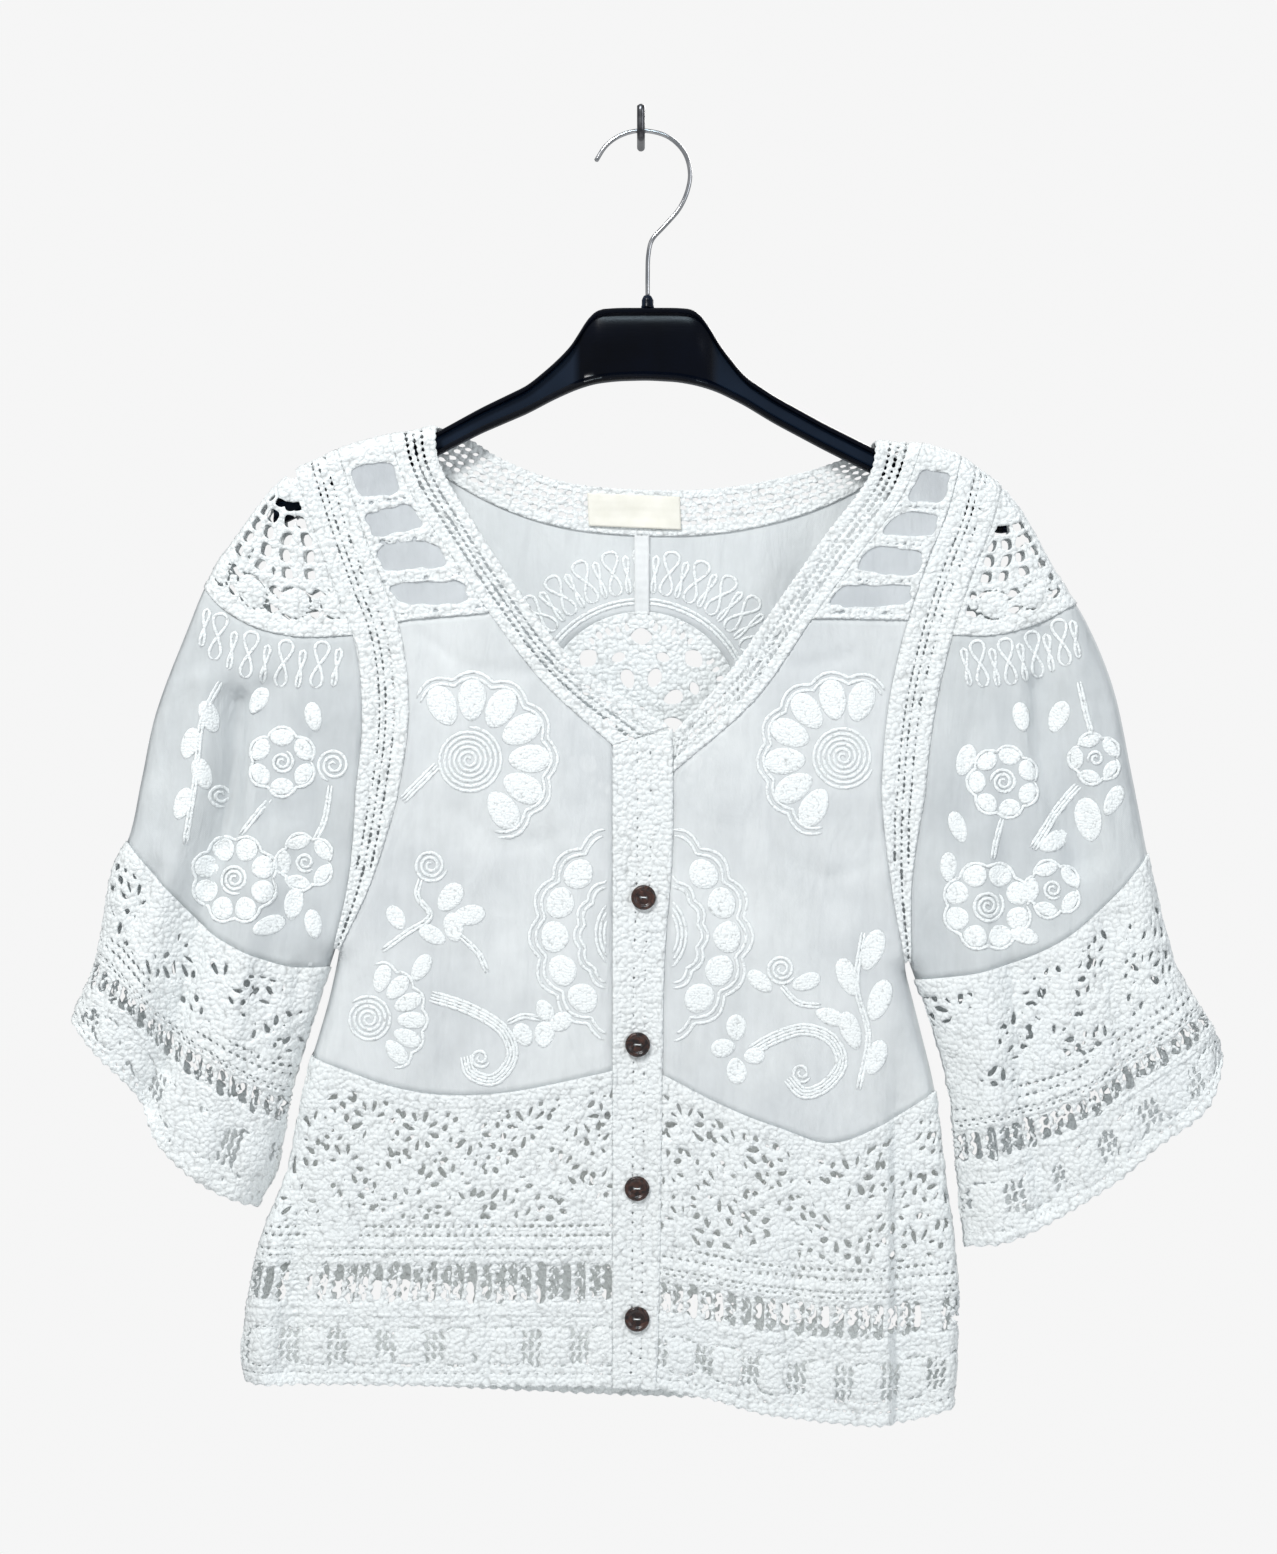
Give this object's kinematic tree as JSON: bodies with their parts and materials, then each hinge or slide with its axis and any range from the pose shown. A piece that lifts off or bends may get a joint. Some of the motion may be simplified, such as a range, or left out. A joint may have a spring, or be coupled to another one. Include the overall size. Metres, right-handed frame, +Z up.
{
  "type": "macrame blouse on a hanger",
  "caption": "Short-sleeved openwork cotton blouse with sheer flowered panels and crochet borders, buttoned in front, on a moulded hanger with a wire hook on a small wall hook.",
  "frame": {"origin": "centre of the wall hook's flat end, which meets the wall", "axes": "+X to the viewer's right, +Y into the wall, +Z up"},
  "size_m": [0.693, 0.0591, 0.7924],
  "materials": {
    "cotton": "matt white cotton crochet and macrame",
    "voile": "sheer white cotton voile",
    "plastic": "moulded blue-black plastic",
    "chrome": "bright plated wire",
    "button": "polished dark brown",
    "label": "woven cream satin, blank"
  },
  "bodies": {
    "root": {"applique_centre_left": "cotton", "applique_centre_right": "cotton", "applique_daisy_left": "cotton", "applique_daisy_right": "cotton", "armhole_band_back_left": "cotton", "armhole_band_back_right": "cotton", "armhole_band_front_left": "cotton", "armhole_band_front_right": "cotton", "back_lace": "cotton", "back_medallion": "cotton", "front_lace_left": "cotton", "front_lace_right": "cotton", "neckband_back": "cotton", "neckband_left": "cotton", "neckband_right": "cotton", "placket_top": "cotton", "placket_under": "cotton", "sleeve_cap_back_left": "cotton", "sleeve_cap_back_right": "cotton", "sleeve_cap_front_left": "cotton", "sleeve_cap_front_right": "cotton", "sleeve_lace_back_left": "cotton", "sleeve_lace_back_right": "cotton", "sleeve_lace_front_left": "cotton", "sleeve_lace_front_right": "cotton", "back_voile_left": "voile", "back_voile_right": "voile", "front_voile_left": "voile", "front_voile_right": "voile", "front_yoke_left": "voile", "front_yoke_right": "voile", "sleeve_voile_back_left": "voile", "sleeve_voile_back_right": "voile", "sleeve_voile_front_left": "voile", "sleeve_voile_front_right": "voile", "hanger_body": "plastic", "hanger_collar": "plastic", "hanger_hook": "chrome", "wall_hook": "chrome", "button_1": "button", "button_2": "button", "button_3": "button", "button_4": "button", "neck_label": "label"}
  },
  "joints": []
}
